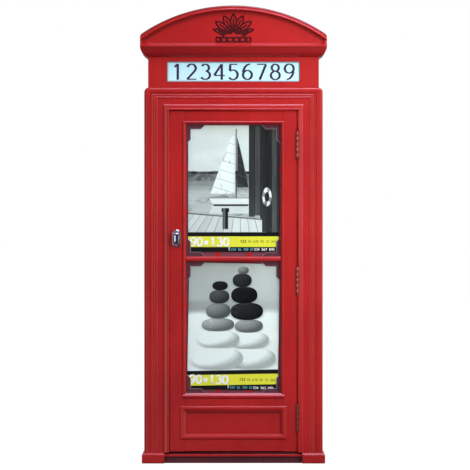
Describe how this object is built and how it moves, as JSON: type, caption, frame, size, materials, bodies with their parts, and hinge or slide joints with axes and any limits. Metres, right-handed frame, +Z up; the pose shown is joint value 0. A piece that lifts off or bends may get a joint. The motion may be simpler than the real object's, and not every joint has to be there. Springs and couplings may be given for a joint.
{
  "type": "key cabinet",
  "caption": "Small booth-shaped wall cabinet for keys: moulded red frame, arched top, blank sign, hinged door with two picture cards, thumb turn, magnetic catch and hooks.",
  "frame": {"origin": "centre of the bounding box at the base plane, where the cabinet can stand", "axes": "+X to the right seen from the front, -Y towards the viewer, +Z up; the wall lies on the +Y side"},
  "size_m": [0.184, 0.0513, 0.4512],
  "materials": {
    "red_paint": "fibreboard in satin red enamel",
    "dark_paint": "fibreboard in dark aubergine enamel",
    "back_board": "bare hardboard, smooth side out",
    "rail_wood": "clear-waxed pine",
    "sign_opal": "pale blue opal acrylic",
    "pane_enamel": "pressed steel, aubergine panes and red bars",
    "card_paper": "coated picture card",
    "hinge_brass": "dull brass",
    "hook_brass": "polished brass",
    "handle_chrome": "polished chrome",
    "zinc_steel": "zinc plated",
    "magnet_steel": "bare magnet face",
    "catch_plastic": "cream moulded plastic"
  },
  "bodies": {
    "cabinet": {"back_panel": "back_board", "left_side": "red_paint", "right_side": "red_paint", "floor_board": "red_paint", "top_board": "red_paint", "door_head": "red_paint", "left_pilaster": "red_paint", "right_pilaster": "red_paint", "left_plinth_block": "red_paint", "right_plinth_block": "red_paint", "sill": "red_paint", "kick_board": "dark_paint", "sign_fascia": "red_paint", "left_frieze_cheek": "red_paint", "right_frieze_cheek": "red_paint", "sign_pane": "sign_opal", "cornice_front": "red_paint", "cornice_left": "red_paint", "cornice_right": "red_paint", "dome_floor": "red_paint", "dome_roof": "red_paint", "tympanum": "red_paint", "arch_rim": "red_paint", "upper_hook_rail": "rail_wood", "lower_hook_rail": "rail_wood", "upper_key_hooks": "hook_brass", "lower_key_hooks": "hook_brass", "magnet_case": "catch_plastic", "magnet": "magnet_steel", "catch_screws": "zinc_steel", "top_hinge_frame_leaf": "hinge_brass", "middle_hinge_frame_leaf": "hinge_brass", "bottom_hinge_frame_leaf": "hinge_brass", "hinge_pins": "hinge_brass", "hinge_frame_screws": "hinge_brass"},
    "door": {"left_stile": "red_paint", "right_stile": "red_paint", "top_rail": "red_paint", "middle_rail": "red_paint", "lower_rail": "red_paint", "bottom_rail": "red_paint", "bottom_panel": "red_paint", "window_moulding": "red_paint", "panel_moulding": "red_paint", "upper_picture_plate": "pane_enamel", "lower_picture_plate": "pane_enamel", "upper_card": "card_paper", "lower_card": "card_paper", "upper_retaining_frame": "rail_wood", "lower_retaining_frame": "rail_wood", "strike_plate": "zinc_steel", "handle_plate": "handle_chrome", "door_fitting_screws": "zinc_steel", "top_hinge_door_leaf": "hinge_brass", "middle_hinge_door_leaf": "hinge_brass", "bottom_hinge_door_leaf": "hinge_brass", "hinge_door_screws": "hinge_brass"},
    "handle": {"handle_grip": "handle_chrome", "latch_cam": "zinc_steel", "cam_nut": "zinc_steel"}
  },
  "joints": [
    {"name": "door_hinge", "type": "hinge", "parent": "cabinet", "child": "door", "pos_m": [0.0631, -0.01765, 0.18], "axis": [0, 0, 1], "range_deg": [0, 110]},
    {"name": "handle_turn", "type": "hinge", "parent": "door", "child": "handle", "pos_m": [-0.0562, -0.01635, 0.2216], "axis": [0, -1, 0], "range_deg": [0, 90]}
  ]
}
